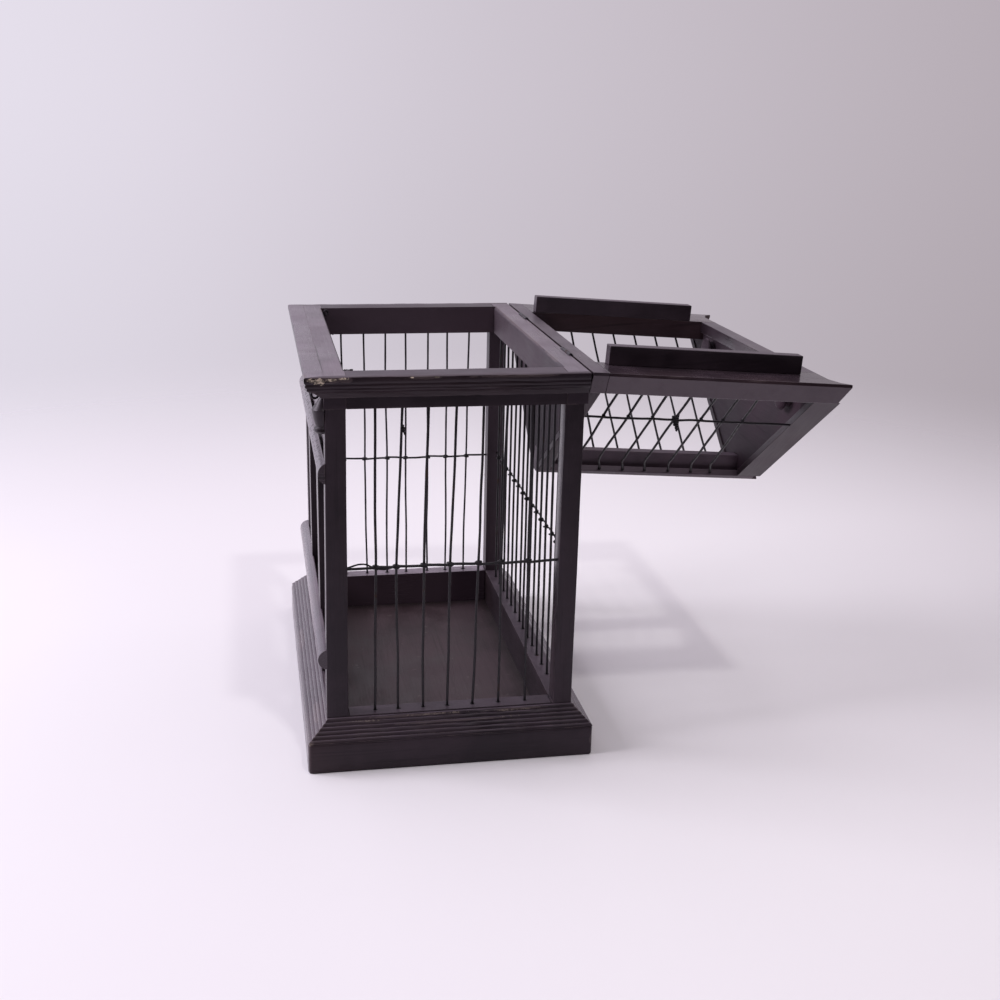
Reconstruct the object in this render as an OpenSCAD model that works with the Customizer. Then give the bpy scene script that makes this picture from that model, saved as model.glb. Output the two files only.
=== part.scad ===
// Small wooden bird cage with wire walls and a gabled wire lid, standing open.
// Millimetres. X runs across the cage from the front (-X) to the hinge side (+X),
// Y runs along it from the near end (-Y) to the far end (+Y), Z is up.
// The origin is the middle of the underside of the base.

/* [Base] */
// Width of the base across the cage
base_w = 200; // [196:1:206]
// Length of the base along the cage
base_d = 311; // [308:1:316]
// Height of the plain plinth boards
plinth_h = 22; // [18:1:24]
// Height of the top of the reeded moulding over the table
moulding_top = 35.5; // [34:0.5:36]
// Number of steps in the reeded base moulding
moulding_steps = 6; // [4:1:7]
// Top of the floor board over the table
floor_top = 8; // [6:0.5:10]

/* [Frame] */
// Outer face of the front posts, from the middle
frame_front = 84.2; // [83:0.2:85]
// Outer face of the hinge-side posts, from the middle
frame_hinge = 85.8; // [84:0.2:87]
// Distance over the outer faces of the posts, along the cage
frame_d = 286; // [284:1:288]
// Side of a square corner post
post = 13.4; // [12.6:0.2:14]
// Top of the bottom rails over the table
low_rail_top = 36.5; // [36:0.5:40]
// Underside of the top rails
high_rail_z = 253; // [250:1:256]
// Height of the open box, without the lid
cage_h = 275; // [272:1:280]
// Underside of the cornice moulding
cornice_z = 260.5; // [258:0.5:262]
// Radius worn on the inner edge of the hinge-side top rail
edge_r = 2.5; // [1.5:0.25:3.5]
// How far the cornice stands out over the front posts
cornice_out_front = 12.5; // [10:0.1:14]
// How far the cornice stands out at the two ends
cornice_out_end = 6; // [5:0.5:8]

/* [Front] */
// Distance of each upright stile from the middle of the front
stile_y = 58; // [50:1:66]
// Width of an upright stile
stile_w = 20; // [14:1:24]
// Height of the upper half-round rail
upper_round_z = 210; // [205:1:212]
// Height of the lower half-round rail
lower_round_z = 79; // [70:1:90]

/* [Wires] */
// Radius of the upright wires
wire_r = 0.9; // [0.7:0.1:1.1]
// Radius of the tie wires that cross them
tie_r = 0.75; // [0.6:0.05:0.9]
// Height of the tie wires at the two ends
tie_z = 142; // [130:1:160]
// Number of upright wires in each end
end_wires = 7; // [6:1:8]
// Number of upright wires in the hinge side
side_wires = 14; // [12:1:15]

/* [Lid] */
// Angle past flat at which the open lid rests
lid_rest = 3.78; // [3:0.01:3.9]
// Length of the lid
lid_d = 294; // [290:1:296]
// Distance of the front face of the lid from the hinge line
lid_w = 174.6; // [173:0.2:176]
// Thickness of the rim
rim_t = 15; // [14:0.5:16]
// Depth of the gabled roof below the rim plane
roof_depth = 106; // [100:1:110]
// Number of wires in the near slope
near_slope_wires = 7; // [5:1:8]
// Number of wires in the far slope
far_slope_wires = 8; // [6:1:8]
// Height of the locating boards that drop into the cage
board_h = 13.2; // [10:0.2:15]

/* [Hinges] */
// Distance of each hinge from the middle of the long side
hinge_y = 76; // [60:1:100]
// Length of a hinge
hinge_len = 26; // [24:1:30]
// Radius of the barrel
barrel_r = 1.3; // [1.2:0.05:1.35]
// Radius of the pin
pin_r = 0.6; // [0.5:0.05:0.65]

/* [Hidden] */

$fn = 48;
paint = [0.17, 0.14, 0.15];
iron = [0.10, 0.09, 0.10];

bx = base_w / 2;
by = base_d / 2;
fl = -frame_front;           // outer faces of the posts
fr = frame_hinge;
fy = frame_d / 2;
il = fl + post;              // inner faces of the posts
ir = fr - post;
iy = fy - post;
front_in = -69.8;            // inner face of the front top rail
hinge_in = 75.6;             // inner face of the hinge-side top rail
hinge_out = 90.1;            // its outer face
end_in = 127.9;              // inner face of the end top rails
wl = (fl + il) / 2;          // planes of the front and the hinge-side wires
wr = (fr + ir) / 2;
wy = (fy + iy) / 2;          // plane of the end wires
tie_gap = wire_r + tie_r + 0.05;

// The hinge line, and the lid measured out from it: u outwards, y along, z up
axis_x = 90.4;
axis_z = cage_h + 0.1;
lu0 = 1.5;                   // edge of the lid next to the hinge line
lu_rail = 12.6;              // inner edge of the hinge rail of the lid
lu_front = lid_w - 13;       // inner edge of the front rail of the lid
lu_moulding = 185.9;         // tip of the end mouldings
lu_stile = 182.6;            // front edge of the slope stiles
lu_strip = 178;              // front end of the ridge strips
ly = lid_d / 2;
ly_mould = ly - 17;          // joint between end moulding and end rail
ly_near = 109.5;             // inner edge of the near rail
ly_far = 102;                // inner edge of the far rail
front_rim_t = 9;             // the front rail is thinner than the others
gable_t = 10;
strip_t = 5;                 // thickness of the strips over the slopes
strip_w = 6.5;               // width of the ridge strips, measured down the slope
eave_y = 138;                // outer foot of each slope
ridge_n = -14;               // edges of the flat ridge
ridge_f = 2;

// A slope as [foot y, ridge y, side]: side 1 is the near one, -1 the far one
near_slope = [-eave_y, ridge_n, 1];
far_slope = [-eave_y, -ridge_f, -1];
function run(s) = s[1] - s[0];
function rise(s) = roof_depth - rim_t;
function slope_len(s) = sqrt(run(s) * run(s) + rise(s) * rise(s));
function slope_a(s) = atan2(rise(s), run(s));
// Point on a slope: d down it from the foot, t inwards from its outer face
function on_slope(s, d, t) = [
    s[0] + d * cos(slope_a(s)) + t * sin(slope_a(s)),
    -rim_t - d * sin(slope_a(s)) + t * cos(slope_a(s))
];
// Distance down the slope at which depth t meets the underside of the rim
function foot_d(s, t) = t / tan(slope_a(s));
function across(p) = [-p[0], p[1]];

function lerp(a, b, t) = a + (b - a) * t;

// Extrudes a (y, z) outline along X from x0 to x1
module along_x(x0, x1) {
    translate([x0, 0, 0]) rotate([90, 0, 90]) linear_extrude(height = x1 - x0) children();
}
module block(x0, x1, y0, y1, z0, z1) {
    translate([x0, y0, z0]) cube([x1 - x0, y1 - y0, z1 - z0]);
}
module rod_z(x, y, z0, z1, r) {
    translate([x, y, z0]) cylinder(h = z1 - z0, r = r);
}
module rod_x(x0, x1, y, z, r) {
    translate([x0, y, z]) rotate([0, 90, 0]) cylinder(h = x1 - x0, r = r);
}
module rod_y(y0, y1, x, z, r) {
    translate([x, y0, z]) rotate([-90, 0, 0]) cylinder(h = y1 - y0, r = r);
}
// Puts a piece drawn in the lid's own frame where the open lid holds it
module lid() {
    translate([axis_x, 0, axis_z]) rotate([0, lid_rest, 0]) children();
}

// ---- Base ----

// One mitred layer of a frame round the base: the inner edge follows the posts
module end_layer(xl, xr, oy, z0, z1, s) {
    translate([0, 0, z0]) linear_extrude(height = z1 - z0)
        polygon(s < 0 ? [[xl, -oy], [xr, -oy], [fr, -fy], [fl, -fy]]
                      : [[fl, fy], [fr, fy], [xr, oy], [xl, oy]]);
}
module side_layer(xo, oy, z0, z1, s) {
    translate([0, 0, z0]) linear_extrude(height = z1 - z0)
        polygon(s < 0 ? [[xo, -oy], [fl, -fy], [fl, fy], [xo, oy]]
                      : [[fr, -fy], [xo, -oy], [xo, oy], [fr, fy]]);
}
function step_l(k) = lerp(-bx, fl, (k + 0.45) / moulding_steps);
function step_r(k) = lerp(bx, fr, (k + 0.45) / moulding_steps);
function step_y(k) = lerp(by, fy, (k + 0.45) / moulding_steps);
function step_z(k) = lerp(plinth_h, moulding_top, k / moulding_steps);

module floor_board() {
    color(paint * 1.3) block(fl, fr, -fy, fy, 0, floor_top);
}
module plinth_end(s) {
    color(paint) end_layer(-bx, bx, by, 0, plinth_h, s);
}
module plinth_side(s) {
    color(paint) side_layer(s * bx, by, 0, plinth_h, s);
}
module base_moulding_end(s) {
    color(paint) for (k = [0:moulding_steps - 1])
        end_layer(step_l(k), step_r(k), step_y(k), step_z(k), step_z(k + 1), s);
}
module base_moulding_side(s) {
    color(paint) for (k = [0:moulding_steps - 1])
        side_layer(s < 0 ? step_l(k) : step_r(k), step_y(k), step_z(k), step_z(k + 1), s);
}

// ---- Frame ----

module corner_post(sx, sy) {
    color(paint) block(sx < 0 ? fl : ir, sx < 0 ? il : fr,
                       sy < 0 ? -fy : iy, sy < 0 ? -iy : fy, floor_top, high_rail_z);
}
module bottom_rail_side(s) {
    color(paint) block(s < 0 ? fl : ir, s < 0 ? il : fr, -iy, iy, floor_top, low_rail_top);
}
module bottom_rail_end(s) {
    color(paint) block(il, ir, s < 0 ? -fy : iy, s < 0 ? -iy : fy, floor_top, low_rail_top);
}
// What a worn, rounded upper edge takes off a top rail: side 1 for a rail that lies to +X of x
module edge_round(x, side, r) {
    x1 = x + side * r;
    difference() {
        block(min(x - side, x1), max(x - side, x1), -end_in, end_in, cage_h - r, cage_h + 1);
        rod_y(-end_in - 1, end_in + 1, x1, cage_h - r, r);
    }
}
module top_rail_front() {
    color(paint) difference() {
        block(fl, front_in, -fy, fy, high_rail_z, cage_h);
        edge_round(front_in, -1, edge_r * 0.6);
    }
}
leaf_h = 12;                 // height of a hinge leaf below the barrel
leaf_t = 0.7;
module top_rail_hinge_side() {
    color(paint) difference() {
        block(hinge_in, hinge_out, -fy, fy, high_rail_z, cage_h);
        edge_round(hinge_in, 1, edge_r);
        for (s = [-1, 1]) {
            block(hinge_out - leaf_t, hinge_out + 1, s * hinge_y - hinge_len / 2, s * hinge_y + hinge_len / 2,
                  axis_z - leaf_h - 1.5, cage_h + 1);
            rod_y(s * hinge_y - hinge_len / 2 - 0.6, s * hinge_y + hinge_len / 2 + 0.6, axis_x, axis_z, barrel_r + 0.3);
        }
    }
}
module top_rail_end(s) {
    color(paint) block(front_in, hinge_in, s < 0 ? -fy : end_in, s < 0 ? -end_in : fy, high_rail_z, cage_h);
}

// The cornice as layers: [share of the overhang, bottom, top] as shares of its height
cornice_layers = [
    [1.00, 0.70, 1.00], [0.84, 0.64, 0.70], [0.93, 0.53, 0.64], [0.76, 0.47, 0.53],
    [0.84, 0.36, 0.47], [0.62, 0.27, 0.36], [0.44, 0.18, 0.27], [0.27, 0.09, 0.18], [0.12, 0.00, 0.09]
];
function cz(t) = lerp(cornice_z, cage_h, t);
module cornice_front() {
    color(paint) for (c = cornice_layers)
        translate([0, 0, cz(c[1])]) linear_extrude(height = cz(c[2]) - cz(c[1]))
            polygon([[fl, -fy], [fl, fy],
                     [fl - c[0] * cornice_out_front, fy + c[0] * cornice_out_end],
                     [fl - c[0] * cornice_out_front, -fy - c[0] * cornice_out_end]]);
}
module cornice_end(s) {
    color(paint) for (c = cornice_layers)
        translate([0, 0, cz(c[1])]) linear_extrude(height = cz(c[2]) - cz(c[1]))
            polygon([[fl, s * fy], [hinge_out, s * fy],
                     [hinge_out, s * (fy + c[0] * cornice_out_end)],
                     [fl - c[0] * cornice_out_front, s * (fy + c[0] * cornice_out_end)]]);
}

// ---- Front ----

frieze_bottom = upper_round_z + 1;
frieze_back = fl + 8.7;
stile_proud = 1.2;
module front_frieze() {
    color(paint) block(fl + 2.2, frieze_back, -iy, iy, frieze_bottom, high_rail_z);
}
// A bead standing out from the posts: a circle segment, out wide and 2*half high
module bead(z, half, out, x1) {
    r = (half * half + out * out) / (2 * out);
    intersection() {
        rod_y(-fy, fy, fl - out + r, z, r);
        block(fl - out - 1, x1, -fy - 1, fy + 1, z - half - 1, z + half + 1);
    }
}
// Each stile stands a little proud of the posts and is notched for the beads
module front_stile(s) {
    color(paint) difference() {
        block(fl - stile_proud, frieze_back, s * stile_y - stile_w / 2, s * stile_y + stile_w / 2,
              low_rail_top, frieze_bottom);
        block(fl - 9, fl, -fy, fy, upper_round_z - 7, upper_round_z + 7);
        block(fl - 9, fl, -fy, fy, lower_round_z - 7.2, lower_round_z + 7.2);
    }
}
module front_half_round(z, half, out) {
    color(paint) bead(z, half, out, fl);
}
// Turned drop, split down the middle and glued to a post under the cornice
drop_profile = [[0, 0], [5.2, 0], [6.4, 1.6], [6.2, 3.4], [5.0, 4.6], [5.4, 5.6], [6.4, 9], [7.3, 14.2],
                [7.5, 15.6], [6.9, 16.4], [4.6, 19.6], [2.6, 22.6], [1.7, 24], [0, 24]];
module front_split_drops() {
    color(paint) for (s = [-1, 1]) intersection() {
        translate([fl, s * wy, cornice_z - 24]) rotate_extrude() polygon(drop_profile);
        block(fl - 10, fl, -fy - 10, fy + 10, cornice_z - 30, cornice_z);
    }
}
// One eye hangs under the front cornice, one sits in each inner corner of the top
module small_screw_eyes() {
    color(iron) {
        translate([fl - 4.4, -118, 257.4]) {
            rotate([90, 0, 0]) rotate_extrude() translate([2.4, 0]) circle(r = 0.8);
            rod_z(0, 0, 2.4, 9, 0.8);
        }
        for (s = [-1, 1]) translate([-66.6, s * 124, 272]) {
            rotate([90, 0, 35 * s]) rotate_extrude() translate([1.9, 0]) circle(r = 0.75);
            rod_x(-9, -1.6, 0, 0, 0.75);
        }
    }
}

// ---- Wires ----

end_step = (ir - il - 1.6) / (end_wires + 1);
module wires_end(s) {
    color(iron) for (k = [1:end_wires])
        rod_z(il + 0.8 + k * end_step, s * wy, low_rail_top - 6, high_rail_z + 6, wire_r);
}
module wires_hinge_side() {
    color(iron) for (k = [1:side_wires])
        rod_z(wr, -iy + k * 2 * iy / (side_wires + 1), low_rail_top - 6, high_rail_z + 6, wire_r);
}
outer_bay = iy - stile_y - stile_w / 2;
inner_bay = 2 * stile_y - stile_w;
module wires_front() {
    color(iron) {
        for (s = [-1, 1], k = [1:3])
            rod_z(wl, s * (iy - k * outer_bay / 4), low_rail_top - 6, frieze_bottom + 6, wire_r);
        for (k = [1:5])
            rod_z(wl, -inner_bay / 2 + k * inner_bay / 6, low_rail_top - 6, frieze_bottom + 6, wire_r);
    }
}
module cage_tie_wires() {
    color(iron) {
        for (s = [-1, 1]) rod_x(il - 4, ir + 4, s * (wy + tie_gap), tie_z, tie_r);
        rod_y(-iy - 4, iy + 4, wr + tie_gap, tie_z + 4, tie_r);
        rod_y(-iy - 4, iy + 4, wl - tie_gap, tie_z + 4, tie_r);
    }
}

// ---- Hinges ----

knuckle = hinge_len / 5;
// A leaf hangs below the barrel at the given x: side -1 in the cage, 1 in the lid
module leaf(side, which, bore) {
    x0 = side < 0 ? hinge_out - leaf_t - axis_x : lu0;
    difference() {
        union() {
            for (k = which) {
                y0 = -hinge_len / 2 + k * knuckle + 0.05;
                rod_y(y0, y0 + knuckle - 0.1, 0, 0, barrel_r);
                if (side < 0) block(x0, x0 + leaf_t, y0, y0 + knuckle - 0.1, -2.2, -0.75);
                else block(0.7, lu0 + leaf_t, y0, y0 + knuckle - 0.1, -1.05, -0.15);
            }
            block(x0, x0 + leaf_t, -hinge_len / 2 + 0.1, hinge_len / 2 - 0.1,
                  -leaf_h - 1.4, side < 0 ? -1.7 : -0.15);
        }
        rod_y(-hinge_len, hinge_len, 0, 0, bore);
        for (k = [-1:1])
            rod_x(-3, 5, k * 9, leaf_screw_z(k), 1.6);
    }
}
function leaf_screw_z(k) = k == 0 ? -10 : -6;
module screw() {
    rotate([0, 90, 0]) difference() {
        union() {
            rod_z(0, 0, 0.05, leaf_t, 1.55);
            rod_z(0, 0, leaf_t, 8, 0.8);
        }
        block(-2, 2, -0.2, 0.2, -1, 0.35);
    }
}
module hinge_leaves_cage() {
    color(iron) for (s = [-1, 1])
        translate([axis_x, s * hinge_y, axis_z]) leaf(-1, [0, 2, 4], pin_r);
}
module hinge_pins() {
    color(iron) for (s = [-1, 1])
        rod_y(s * hinge_y - hinge_len / 2 - 0.4, s * hinge_y + hinge_len / 2 + 0.4, axis_x, axis_z, pin_r);
}
module hinge_screws_cage() {
    color(iron) for (s = [-1, 1], k = [-1:1])
        translate([hinge_out, s * hinge_y + k * 9, axis_z + leaf_screw_z(k)])
            rotate([0, 0, 180]) rotate([40 + 50 * k, 0, 0]) screw();
}
module hinge_leaves_lid() {
    color(iron) lid() for (s = [-1, 1])
        translate([0, s * hinge_y, 0]) leaf(1, [1, 3], pin_r + 0.06);
}
module hinge_screws_lid() {
    color(iron) lid() for (s = [-1, 1], k = [-1:1])
        translate([lu0, s * hinge_y + k * 9, leaf_screw_z(k)]) rotate([70 - 40 * k, 0, 0]) screw();
}

// ---- Lid ----

// Side view of the rim with its sloping ends
rim_profile = [[-ly, 0], [-ly, -2.2], [-ly + 5.5, -rim_t], [ly - 5.5, -rim_t], [ly, -2.2], [ly, 0]];
end_profile = [[-ly, 0], [-ly, -2.2], [-ly + 5.5, -rim_t], [-ly_mould, -rim_t], [-ly_mould, 0]];

module lid_hinge_rail() {
    color(paint) lid() difference() {
        along_x(lu0, lu_rail) polygon(rim_profile);
        for (s = [-1, 1])
            block(lu0 - 1, lu0 + leaf_t, s * hinge_y - hinge_len / 2, s * hinge_y + hinge_len / 2, -leaf_h - 1.5, 1);
    }
}
module lid_front_rail() {
    color(paint) lid() block(lu_front, lid_w, -ly_near, ly_far, -front_rim_t, 0);
}
module lid_near_rail() {
    color(paint) lid() block(lu_rail, lid_w, -ly_mould, -ly_near, -rim_t, 0);
}
module lid_far_rail() {
    color(paint) lid() block(lu_rail, lid_w, ly_far, ly_mould, -rim_t, 0);
}
// The moulding runs past the front rail to a mitre with a blunted tip; the strip it met there is lost
module lid_end_moulding(s) {
    color(paint) lid() scale([1, -s, 1]) intersection() {
        along_x(lu_rail, lu_moulding) polygon(end_profile);
        translate([0, 0, -rim_t - 1]) linear_extrude(height = rim_t + 2)
            polygon([[lu_rail, -ly - 1], [lu_moulding + 0.7, -ly - 1], [lid_w + 4.4, -ly + 5.5], [lid_w, -ly_mould], [lu_rail, -ly_mould]]);
    }
}
// Top of a gable board at one slope, under the strip
function gable_foot(s) = on_slope(s, foot_d(s, strip_t), strip_t);
function gable_top(s) = on_slope(s, slope_len(s), strip_t);
beam_top = -roof_depth + 18.3;
beam_outline = [
    [ridge_n, -roof_depth], [ridge_f, -roof_depth], across(gable_top(far_slope)),
    [-gable_top(far_slope)[0], beam_top], [gable_top(near_slope)[0], beam_top], gable_top(near_slope)
];
// The lower edge of both gables, from the far foot round the beam to the near foot
gable_edge = [
    across(gable_foot(far_slope)), across(gable_top(far_slope)), [-gable_top(far_slope)[0], beam_top],
    [gable_top(near_slope)[0], beam_top], gable_top(near_slope), gable_foot(near_slope)
];
module lid_gable_front() {
    color(paint) lid() along_x(lid_w - gable_t, lid_w) polygon(concat(gable_edge,
        [[-ly_near, -rim_t], [-ly_near, -front_rim_t], [ly_far, -front_rim_t], [ly_far, -rim_t]]));
}
module lid_gable_hinge_side() {
    color(paint) lid() along_x(lu0, lu0 + gable_t - 0.7) polygon(gable_edge);
}
function stile_outline(s) = [
    [s[0], -rim_t], on_slope(s, slope_len(s) - strip_w, 0), on_slope(s, slope_len(s) - strip_w, strip_t), gable_foot(s)
];
function ridge_strip_outline(s) = [
    on_slope(s, slope_len(s) - strip_w, 0), on_slope(s, slope_len(s), 0),
    on_slope(s, slope_len(s), strip_t), on_slope(s, slope_len(s) - strip_w, strip_t)
];
// A stile lies on the sloping edge of each gable
module lid_slope_stiles(s) {
    color(paint) lid() scale([1, s[2], 1]) {
        along_x(lu_stile - 19, lu_stile) polygon(stile_outline(s));
        along_x(lu0, lu0 + gable_t - 0.7) polygon(stile_outline(s));
    }
}
module lid_ridge_strips() {
    color(paint) lid() for (s = [near_slope, far_slope]) scale([1, s[2], 1])
        along_x(lu0, lu_strip) polygon(ridge_strip_outline(s));
}
module lid_ridge_beam() {
    color(paint) lid() along_x(lu0, lu_stile) polygon(beam_outline);
}
// Wires down one slope, from inside the rim to inside the ridge strip
module slope_rods(s, count, first, pitch) {
    p = on_slope(s, foot_d(s, strip_t / 2) - 8, strip_t / 2);
    for (k = [0:count - 1])
        translate([first + k * pitch, p[0], p[1]]) rotate([-90 - slope_a(s), 0, 0])
            cylinder(h = slope_len(s) - 1.5 - foot_d(s, strip_t / 2) + 8, r = wire_r);
}
module lid_wires_near() {
    color(iron) lid() slope_rods(near_slope, near_slope_wires, 23.9, 17);
}
module lid_wires_far() {
    color(iron) lid() scale([1, -1, 1]) slope_rods(far_slope, far_slope_wires, 16.6, 18.9);
}
module lid_tie_wires() {
    color(iron) lid() for (s = [near_slope, far_slope]) scale([1, s[2], 1]) {
        p = on_slope(s, 0.28 * slope_len(s), strip_t / 2 - tie_gap);
        rod_x(6, 168, p[0], p[1], tie_r);
    }
}
// Boards that stand up from the open lid and drop inside the cage when it shuts
module lid_locating_board_near() {
    color(paint) lid() block(19.1, 158.8, -ly_near - 9.5, -ly_near, 0, board_h);
}
module lid_locating_board_far() {
    color(paint) lid() block(15.6, 151.2, ly_far, ly_far + 9.5, 0, board_h);
}
// Small turned knobs on the inside of the front gable: the foot at 0, the crown at knob_h
knob_h = 8.6;
knob_profile = [[0, 0], [6.4, 0], [6.4, 1.3], [5.3, 2.3], [5.4, 3], [7.7, 3.8], [8.9, 5], [9, 6], [8.2, 7.2],
                [6.2, 8.1], [3.1, 8.5], [0, knob_h]];
module lid_gable_knobs() {
    color(paint) lid() for (c = [[-91, -22.5], [75, -18.6]])
        translate([lid_w - gable_t, c[0], c[1]]) rotate([0, -90, 0]) rotate_extrude() polygon(knob_profile);
}

floor_board();
plinth_side(-1);  // plinth_front
plinth_side(1);  // plinth_hinge_side
plinth_end(-1);  // plinth_near_end
plinth_end(1);  // plinth_far_end
base_moulding_side(-1);  // base_moulding_front
base_moulding_side(1);  // base_moulding_hinge_side
base_moulding_end(-1);  // base_moulding_near_end
base_moulding_end(1);  // base_moulding_far_end
corner_post(-1, -1);  // post_front_near
corner_post(-1, 1);  // post_front_far
corner_post(1, -1);  // post_hinge_near
corner_post(1, 1);  // post_hinge_far
bottom_rail_side(-1);  // bottom_rail_front
bottom_rail_side(1);  // bottom_rail_hinge_side
bottom_rail_end(-1);  // bottom_rail_near_end
bottom_rail_end(1);  // bottom_rail_far_end
top_rail_front();
top_rail_hinge_side();
top_rail_end(-1);  // top_rail_near_end
top_rail_end(1);  // top_rail_far_end
cornice_front();
cornice_end(-1);  // cornice_near_end
cornice_end(1);  // cornice_far_end
front_frieze();
front_stile(-1);  // front_stile_near
front_stile(1);  // front_stile_far
front_half_round(upper_round_z, 7, 4.7);  // front_half_round_upper
front_half_round(lower_round_z, 7.2, 7.1);  // front_half_round_lower
front_split_drops();
small_screw_eyes();
wires_end(-1);  // wires_near_end
wires_end(1);  // wires_far_end
wires_hinge_side();
wires_front();
cage_tie_wires();
hinge_leaves_cage();
hinge_pins();
hinge_screws_cage();
lid_hinge_rail();
lid_front_rail();
lid_near_rail();
lid_far_rail();
lid_end_moulding(-1);  // lid_near_moulding
lid_end_moulding(1);  // lid_far_moulding
lid_gable_front();
lid_gable_hinge_side();
lid_slope_stiles(near_slope);  // lid_slope_stiles_near
lid_slope_stiles(far_slope);  // lid_slope_stiles_far
lid_ridge_beam();
lid_ridge_strips();
lid_wires_near();
lid_wires_far();
lid_tie_wires();
lid_locating_board_near();
lid_locating_board_far();
lid_gable_knobs();
hinge_leaves_lid();
hinge_screws_lid();
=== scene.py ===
"""A small wooden bird cage with wire walls and a gabled wire lid, standing open on a pale studio floor.

Lengths in the tables below are in millimetres, as in the CAD source. Everything that is built is in metres.
"""

import math
import random

import bpy
from mathutils import Matrix, Vector, noise


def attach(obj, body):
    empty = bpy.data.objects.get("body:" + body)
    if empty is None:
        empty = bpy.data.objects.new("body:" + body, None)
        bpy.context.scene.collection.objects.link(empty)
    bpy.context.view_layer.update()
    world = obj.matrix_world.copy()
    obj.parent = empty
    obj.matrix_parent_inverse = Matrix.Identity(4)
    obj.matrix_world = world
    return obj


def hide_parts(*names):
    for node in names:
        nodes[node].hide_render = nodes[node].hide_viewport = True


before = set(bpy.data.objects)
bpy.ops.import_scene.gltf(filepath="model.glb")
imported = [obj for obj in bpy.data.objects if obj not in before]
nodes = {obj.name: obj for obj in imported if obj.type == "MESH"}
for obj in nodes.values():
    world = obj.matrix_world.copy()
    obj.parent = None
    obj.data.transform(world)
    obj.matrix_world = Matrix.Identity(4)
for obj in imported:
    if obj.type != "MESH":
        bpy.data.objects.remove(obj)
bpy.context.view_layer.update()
scene = bpy.context.scene
MM = 0.001

# ---------------------------------------------------------------- measurements repeated from the CAD source
BX, BY, PLINTH_H, MOULD_TOP = 100.0, 155.5, 22.0, 35.5
FL, FR, FY, POST = -84.2, 85.8, 143.0, 13.4
IL, IR, IY = FL + POST, FR - POST, FY - POST
WL, WR, WY = (FL + IL) / 2, (FR + IR) / 2, (FY + IY) / 2
LOW_Z, HIGH_Z, CAGE_H = 36.5, 253.0, 275.0
CORNICE_Z, CORNICE_OUT, CORNICE_END, HINGE_OUT = 260.5, 12.5, 6.0, 90.1
WIRE_R, TIE_R = 0.9, 0.75
TIE_GAP = WIRE_R + TIE_R + 0.05
AXIS_X, AXIS_Z, LID_REST = 90.4, 275.1, math.radians(3.78)
RIM_T, ROOF_DEPTH, STRIP_T, STRIP_W, EAVE_Y = 15.0, 106.0, 5.0, 6.5, 138.0
LID_W = 174.6


def lid_point(u, y, z):
    c, s = math.cos(LID_REST), math.sin(LID_REST)
    return Vector((AXIS_X + u * c + z * s, y, AXIS_Z - u * s + z * c))


class Slope:
    """A slope of the lid: d runs down it from the foot, t inwards from its outer face."""

    def __init__(self, foot, ridge, side):
        self.foot, self.side = foot, side
        self.angle = math.atan2(ROOF_DEPTH - RIM_T, ridge - foot)
        self.length = math.hypot(ridge - foot, ROOF_DEPTH - RIM_T)

    def at(self, u, d, t):
        c, s = math.cos(self.angle), math.sin(self.angle)
        y = self.foot + d * c + t * s
        return lid_point(u, self.side * y, -RIM_T - d * s + t * c)

    def foot_d(self, t):
        return t / math.tan(self.angle)


NEAR_SLOPE, FAR_SLOPE = Slope(-EAVE_Y, -14, 1), Slope(-EAVE_Y, -2, -1)


# ---------------------------------------------------------------- materials
SKY_RIGHT_TO_LEFT, SKY_TOP = (0.285, 0.865), 0.86


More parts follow.
